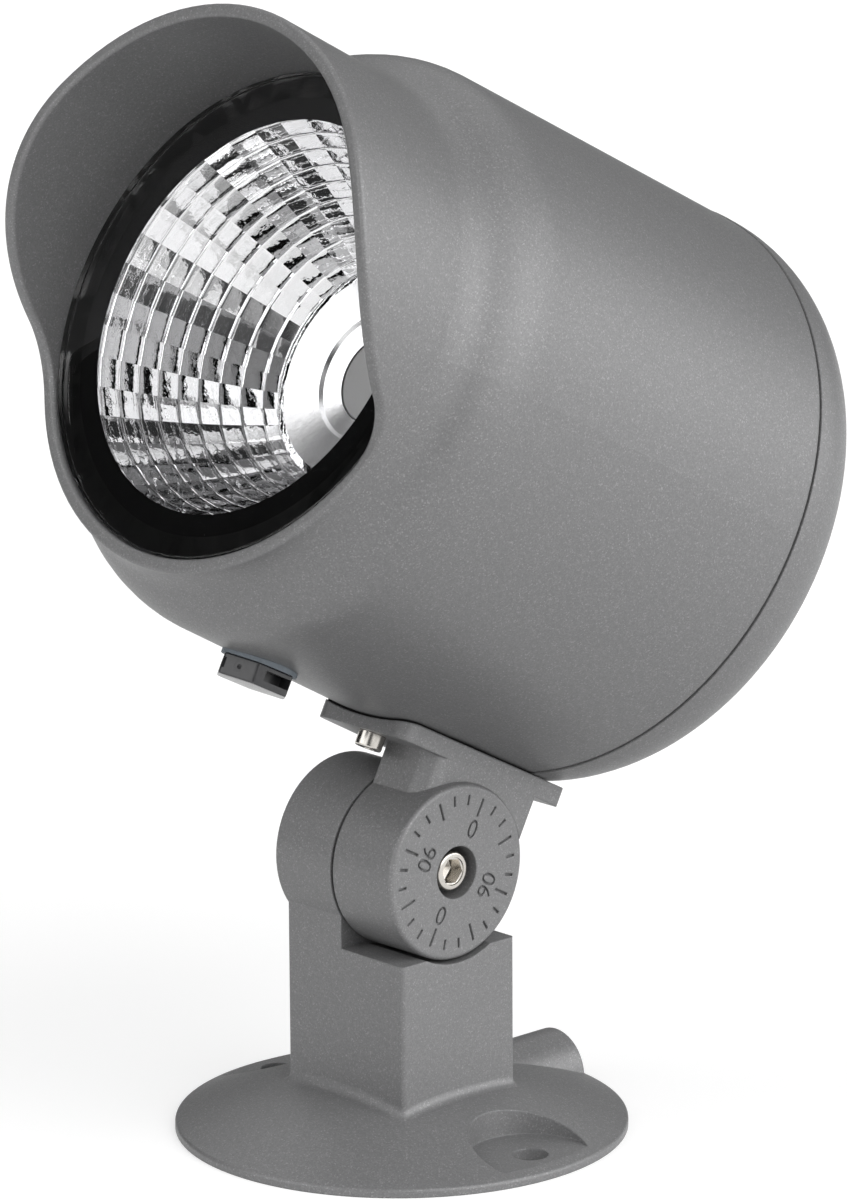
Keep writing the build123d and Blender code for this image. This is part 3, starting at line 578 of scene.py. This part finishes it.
def make_reflector():
    """Faceted mirror bowl with pillowed facets and a flared neck."""
    mesh = lofted("reflector_bowl", reflector_rings(), closed=True)
    in_flare = [face.center.xy.length < FLARE_OUTER for face in mesh.polygons]
    mesh.transform(HEAD)
    smooth(mesh, BOWL_SHARP_ANGLE)
    mirror = mirror_material("mirror_coat", BOWL_ROUGHNESS)
    bowl = piece_from("reflector_bowl", mesh, mirror, "head")
    mesh.materials.append(mirror_material("smooth_flare", FLARE_ROUGHNESS))
    mesh.polygons.foreach_set("material_index", in_flare)
    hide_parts("reflector")


# Glass border


def make_border():
    """Black border printed on the back of the glass."""
    profile = [
        (BORDER_INNER, BORDER_BACK), (BORDER_INNER, BORDER_FRONT),
        (BORDER_OUTER, BORDER_FRONT), (BORDER_OUTER, BORDER_BACK),
    ]
    rings = [ring(radius, along, ROUND_SEGMENTS) for radius, along in profile]
    mesh = lofted("glass_border", rings, closed=True)
    mesh.transform(HEAD)
    smooth(mesh)
    piece_from("glass_border", mesh, finish("black_print"), "head")


# Screws


def cap_screw(name, size, length):
    """Socket cap screw along Z: the head stands on Z = 0 and the shank goes down."""
    shank, head, height, socket = size
    count = SCREW_SEGMENTS
    edge = head * HEAD_ROUND
    corner = socket / math.sqrt(3)
    floor = height * (1 - SOCKET_SHARE)
    rings = [
        ring(shank * TIP_RADIUS, -length, count),
        ring(shank, -length + shank * TIP_LENGTH, count),
        ring(shank, 0.0, count),
        ring(head * HEAD_FOOT, 0.0, count),
        ring(head, edge * FOOT_RISE, count),
        ring(head, height - edge, count),
    ]
    for turn in HEAD_ROUND_TURNS:
        angle = math.radians(turn)
        inset = edge * (1 - math.cos(angle))
        drop = edge * (1 - math.sin(angle))
        rings.append(ring(head - inset, height - drop, count))
    rings.append(ring(corner * SOCKET_MOUTH, height, count))
    rings.append(ring(corner, height - edge * MOUTH_DEPTHS[0], count))
    rings.append(hexagon_ring(socket, height - edge * MOUTH_DEPTHS[1], count))
    rings.append(hexagon_ring(socket, floor, count))
    mesh = lofted(name, rings)
    mesh.vertices[-1].co.z = floor - socket * SOCKET_CONE
    smooth(mesh, SCREW_SHARP_ANGLE)
    return mesh


def make_screws():
    """Pivot bolt, plate screw and cover screws with rounded heads and deep sockets."""
    steel = finish("stainless")
    low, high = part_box("pivot_bolt")
    mesh = cap_screw("pivot_bolt_head", M6, high.x - low.x - M6.height)
    turn = Matrix.Rotation(math.pi / 2, 4, "Y") @ Matrix.Rotation(BOLT_SPIN, 4, "Z")
    mesh.transform(Matrix.Translation((high.x - M6.height, PIVOT.y, PIVOT.z)) @ turn)
    bolt = piece_from("pivot_bolt_head", mesh, steel, "base")
    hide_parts("pivot_bolt")

    low, high = span("plate_front_screw")
    mesh = cap_screw("plate_screw_head", M4, high.y - low.y - M4.height)
    middle = (low + high) / 2
    seat = Matrix.Translation((middle.x, low.y + M4.height, middle.z))
    mesh.transform(HEAD @ seat @ Matrix.Rotation(math.pi / 2, 4, "X"))
    screw = piece_from("plate_screw_head", mesh, steel, "head")
    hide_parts("plate_front_screw")
    make_cover_screws(steel)
    return steel


def make_cover_screws(steel):
    """Four screws sunk in the rear cover, as one piece."""
    low, high = span("rear_cover_screws")
    circle = (high.x - M4.head) * math.sqrt(2)
    form = bmesh.new()
    for corner in COVER_SCREW_TURNS:
        mesh = cap_screw("cover_screw", M4, high.z - low.z - M4.height)
        spin = Matrix.Rotation(math.radians(corner), 4, "Z")
        seat = Matrix.Translation((circle, 0, low.z + M4.height))
        mesh.transform(HEAD @ spin @ seat @ Matrix.Rotation(math.pi, 4, "X"))
        form.from_mesh(mesh)
        bpy.data.meshes.remove(mesh)
    mesh = bpy.data.meshes.new("cover_screw_heads")
    form.to_mesh(mesh)
    form.free()
    smooth(mesh, SCREW_SHARP_ANGLE)
    screws = piece_from("cover_screw_heads", mesh, steel, "head")
    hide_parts("rear_cover_screws")


# Dial


def box_cutter(form, inner, outer, turn):
    """Adds one tapered groove cutter to a form, in the dial's plane with Z out of the face."""
    half = MARK_WIDTH / 2
    spin = Matrix.Rotation(turn, 4, "Z")
    corners = []
    for depth, width in ((-MARK_DEPTH, half * (1 - MARK_TAPER)), (MARK_DEPTH, half * (1 + MARK_TAPER))):
        for radius, side in ((inner, -width), (outer, -width), (outer, width), (inner, width)):
            corners.append(form.verts.new(spin @ Vector((side, radius, depth))))
    add_box(form, corners)


def numeral_cutter(form, text, turn):
    """Adds the cutter of one numeral to a form, its top towards the dial's centre."""
    data = bpy.data.curves.new("numeral", "FONT")
    data.body = text
    data.size = NUMERAL_SIZE
    data.offset = -NUMERAL_THIN * NUMERAL_SIZE
    data.extrude = MARK_DEPTH
    data.align_x = "CENTER"
    data.align_y = "CENTER"
    writing = bpy.data.objects.new("numeral", data)
    mesh = bpy.data.meshes.new_from_object(writing)
    spin = Matrix.Rotation(turn, 4, "Z")
    shift = Matrix.Translation((0, NUMERAL_RADIUS, 0))
    mesh.transform(spin @ shift @ Matrix.Rotation(math.pi, 4, "Z"))
    form.from_mesh(mesh)
    bpy.data.objects.remove(writing)
    bpy.data.curves.remove(data)
    bpy.data.meshes.remove(mesh)


def dial_place():
    """Place of the dial: Z out of its face, Y towards the head's axis."""
    up = (HEAD.to_3x3() @ Vector((0, 1, 0))).normalized()
    out = Vector((1, 0, 0))
    axes = Matrix((up.cross(out), up, out)).transposed().to_4x4()
    return Matrix.Translation((DIAL_FACE, PIVOT.y, PIVOT.z)) @ axes


def dial_cutter():
    """All the dial's marks and numerals as one cutter, in their place on the dial."""
    form = bmesh.new()
    for degrees in range(0, 360, DIAL_STEP):
        inner, outer = SHORT_MARK if degrees % DIAL_LONG_STEP else LONG_MARK
        box_cutter(form, inner, outer, math.radians(degrees))
    for text, degrees in NUMERALS:
        numeral_cutter(form, text, math.radians(degrees))
    bmesh.ops.remove_doubles(form, verts=form.verts, dist=HAIR)
    bmesh.ops.recalc_face_normals(form, faces=form.faces)
    mesh = bpy.data.meshes.new("dial_cutter")
    form.to_mesh(mesh)
    form.free()
    mesh.transform(dial_place())
    return mesh


def rim_cutter():
    """Ring that takes the dial's sharp rim off, in its place on the dial."""
    middle = RIM_RADIUS - RIM_ROUND
    profile = [(RIM_RADIUS + RIM_SPARE, RIM_ROUND), (RIM_RADIUS + RIM_SPARE, -RIM_ROUND)]
    for step in range(RIM_STEPS + 1):
        angle = math.pi / 2 * step / RIM_STEPS
        profile.append((middle + RIM_ROUND * math.cos(angle), RIM_ROUND * (math.sin(angle) - 1)))
    profile.append((middle, RIM_ROUND))
    rings = [ring(radius, out, ROUND_SEGMENTS) for radius, out in profile]
    mesh = lofted("rim_cutter", rings, closed=True)
    mesh.transform(dial_place())
    return mesh


def make_knuckle(coat):
    """Plate, neck and knuckle with a rounded dial rim and engraved marks."""
    blank = carved("knuckle_rounded", welded_copy("knuckle_bracket"), rim_cutter())
    mesh = carved("knuckle_engraved", blank, dial_cutter())
    smooth(mesh)
    knuckle = piece_from("knuckle_engraved", mesh, coat, "head")
    even_shading(knuckle)
    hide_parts("knuckle_bracket")


# Rear cover


def make_cover(coat):
    """Domed rear cover with an even shine."""
    mesh = welded_copy("rear_cover")
    smooth(mesh)
    cover = piece_from("cover_dome", mesh, coat, "head")
    even_shading(cover)
    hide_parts("rear_cover")


# Vent plug


def rounded_hexagon(inset, height):
    """Points of the plug's rounded hexagon about Z, set in by a little."""
    flat = VENT_FLATS / 2 - inset
    bend = max(VENT_ROUND - inset, VENT_ROUND / 4)
    points = []
    for corner in range(6):
        turn = math.pi / 3 * corner
        middle = Vector((math.cos(turn), math.sin(turn), 0)) * (flat - bend) / math.cos(math.pi / 6)
        for step in range(VENT_STEPS + 1):
            angle = turn + math.pi / 3 * (step / VENT_STEPS - 0.5)
            points.append(middle + Vector((bend * math.cos(angle), bend * math.sin(angle), height)))
    return points


def vent_crown(point):
    """Height of the plug's crowned end over a point."""
    return VENT_HEIGHT + VENT_CROWN * (1 - (point.xy.length / VENT_FLATS) ** 2)


def vent_blank():
    """Stem and hexagon head of the plug along Z, Z pointing away from the housing."""
    outline = rounded_hexagon(0, 0)
    rings = []
    stem = [point.normalized() * VENT_STEM_RADIUS for point in outline]
    for height in (-VENT_STEM_LENGTH, 0):
        rings.append([point + Vector((0, 0, height)) for point in stem])
    rings.append(rounded_hexagon(VENT_EDGE, 0))
    rings.append(rounded_hexagon(0, VENT_EDGE))
    for step in range(VENT_STEPS + 1):
        angle = math.pi / 2 * step / VENT_STEPS
        rim = rounded_hexagon(VENT_EDGE * (1 - math.cos(angle)), 0)
        drop = VENT_EDGE * (1 - math.sin(angle))
        rings.append([Vector((p.x, p.y, vent_crown(p) - drop)) for p in rim])
    for share in VENT_CROWN_SHARES:
        inner = [point * share for point in rounded_hexagon(VENT_EDGE, 0)]
        rings.append([Vector((p.x, p.y, vent_crown(p))) for p in inner])
    return lofted("vent_blank", rings)


def vent_cutter():
    """Three slots and a gate mark in the plug's flats."""
    form = bmesh.new()
    for degrees in VENT_SLOT_TURNS:
        spin = Matrix.Rotation(math.radians(degrees), 4, "Z")
        corners = []
        for height in VENT_SLOT_HEIGHTS:
            for x, y in ((VENT_SLOT_FLOOR, 0), (VENT_FLATS, 0), (VENT_FLATS, 1), (VENT_SLOT_FLOOR, 1)):
                corners.append(form.verts.new(spin @ Vector((x, VENT_SLOT_SIDES[y], height))))
        add_box(form, corners)
    mark = [ring(radius, depth, VENT_MARK_SEGMENTS) for radius, depth in VENT_MARK]
    pit = lofted("gate_mark", mark)
    spin = Matrix.Rotation(math.pi / 2, 4, "Z")
    flat = Matrix.Translation((VENT_FLATS / 2, 0, VENT_HEIGHT / 2))
    pit.transform(spin @ flat @ Matrix.Rotation(math.pi / 2, 4, "Y"))
    form.from_mesh(pit)
    bpy.data.meshes.remove(pit)
    bmesh.ops.recalc_face_normals(form, faces=form.faces)
    mesh = bpy.data.meshes.new("vent_cutter")
    form.to_mesh(mesh)
    form.free()
    return mesh


def make_vent():
    """Glossy plug with a slotted hexagon head."""
    mesh = carved("vent_carved", vent_blank(), vent_cutter())
    place = Matrix.Translation((0, VENT_SEAT, VENT_ALONG))
    turn = Matrix.Rotation(math.pi / 2, 4, "X") @ Matrix.Rotation(VENT_TURN, 4, "Z")
    mesh.transform(HEAD @ place @ turn)
    smooth(mesh, VENT_SHARP_ANGLE)
    plug = piece_from("vent_carved", mesh, finish("vent_plastic"), "head")
    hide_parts("vent_plug")


# Finishes


def dress(made, *nodes):
    """Gives solids a material."""
    for node in nodes:
        piece = frame["nodes"][node]
        piece.data.materials.clear()
        piece.data.materials.append(made)


def dress_nodes(coat, steel):
    """Finishes of all the solids that keep their shape."""
    dress(coat, *COATED_NODES)
    dress(steel, *STEEL_NODES)
    dress(glass_material(), "front_glass")
    for name, nodes in FINISHED_NODES.items():
        dress(finish(name), *nodes)


# Floor, sky and camera


def make_floor():
    """White floor that goes on past the picture and keeps the object's shadow."""
    half = FLOOR_SIZE / 2
    corners = [(-half, -half, 0), (half, -half, 0), (half, half, 0), (-half, half, 0)]
    mesh = bpy.data.meshes.new("floor")
    mesh.from_pydata(corners, [], [(0, 1, 2, 3)])
    floor = bpy.data.objects.new("floor", mesh)
    bpy.context.collection.objects.link(floor)
    made = material(
        "floor_white", Base_Color=grey(FLOOR_TONE), Roughness=FLOOR_ROUGHNESS, Emission_Color=grey(1.0),
    )
    lift_floor(made)
    floor.data.materials.append(made)


def lift_floor(made):
    """Lifts the floor to white where it is seen or mirrored, but not under the base: the missing lift
    there is painted shade on top of the base's real shadow.
    """
    path = add_node(made, "ShaderNodeLightPath")
    seen = add_node(made, "ShaderNodeMath", operation="MAXIMUM")
    shown = add_node(made, "ShaderNodeMath", operation="MAXIMUM")
    lift = add_node(made, "ShaderNodeMath", operation="MULTIPLY")
    link(made, path, "Is Camera Ray", seen, 0)
    link(made, path, "Is Glossy Ray", seen, 1)
    link(made, seen, "Value", shown, 0)
    link(made, path, "Is Transmission Ray", shown, 1)
    link(made, shown, "Value", lift, 0)
    lift.inputs[1].default_value = FLOOR_LIFT
    # Painted shade: the lift stops inside the base's covered radius, so the floor seen through the
    # base's holes stays dark
    place = add_node(made, "ShaderNodeTexCoord")
    reach = add_node(made, "ShaderNodeVectorMath", operation="LENGTH")
    outside = add_node(made, "ShaderNodeMath", operation="GREATER_THAN")
    outside.inputs[1].default_value = COVERED_RADIUS
    bare = add_node(made, "ShaderNodeMath", operation="MULTIPLY")
    link(made, place, "Object", reach, 0)
    link(made, reach, "Value", outside, 0)
    link(made, lift, "Value", bare, 0)
    link(made, outside, "Value", bare, 1)
    link(made, bare, "Value", shader_of(made), "Emission Strength")


def sky_direction(azimuth, elevation):
    """Unit vector towards a place in the sky."""
    around, up = math.radians(azimuth), math.radians(elevation)
    return Vector((math.cos(around) * math.cos(up), math.sin(around) * math.cos(up), math.sin(up)))


def make_world():
    """Dark studio with soft boxes, so that the glass stays clear and the mirror has contrast."""
    world = bpy.data.worlds.new("surroundings")
    bpy.context.scene.world = world
    world.use_nodes = True
    place = add_node(world, "ShaderNodeTexCoord")
    background = world.node_tree.nodes["Background"]
    background.inputs["Color"].default_value = grey(1.0)
    total = None
    for azimuth, elevation, full, outer, strength in SOFT_BOXES:
        facing = add_node(world, "ShaderNodeVectorMath", operation="DOT_PRODUCT")
        facing.inputs[1].default_value = sky_direction(azimuth, elevation)
        level = add_node(
            world, "ShaderNodeMapRange", interpolation_type="SMOOTHSTEP", To_Max=strength,
            From_Min=math.cos(math.radians(outer)), From_Max=math.cos(math.radians(full)),
        )
        added = add_node(world, "ShaderNodeMath", operation="ADD")
        added.inputs[1].default_value = SKY_LEVEL
        link(world, place, "Generated", facing, 0)
        link(world, facing, "Value", level, "Value")
        link(world, level, "Result", added, 0)
        if total:
            link(world, total, "Value", added, 1)
        total = added
    link(world, total, "Value", background, "Strength")


def make_camera():
    """Long lens a little above the object, in front of it and to its right."""
    data = bpy.data.cameras.new("camera")
    data.sensor_fit = "AUTO"
    data.sensor_width = SENSOR
    data.lens = LENS
    camera = bpy.data.objects.new("camera", data)
    camera.location = CAMERA_PLACE
    look = (CAMERA_AIM - CAMERA_PLACE).to_track_quat("-Z", "Y").to_matrix().to_4x4()
    camera.rotation_mode = "QUATERNION"
    camera.rotation_quaternion = (look @ Matrix.Rotation(CAMERA_ROLL, 4, "Z")).to_quaternion()
    bpy.context.collection.objects.link(camera)
    bpy.context.scene.camera = camera


make_camera()
coat_finish = coat_material()
make_reflector()
make_border()
steel_finish = make_screws()
make_knuckle(coat_finish)
make_cover(coat_finish)
make_vent()
dress_nodes(coat_finish, steel_finish)
make_floor()
make_world()
bpy.context.scene.view_settings.view_transform = "Standard"
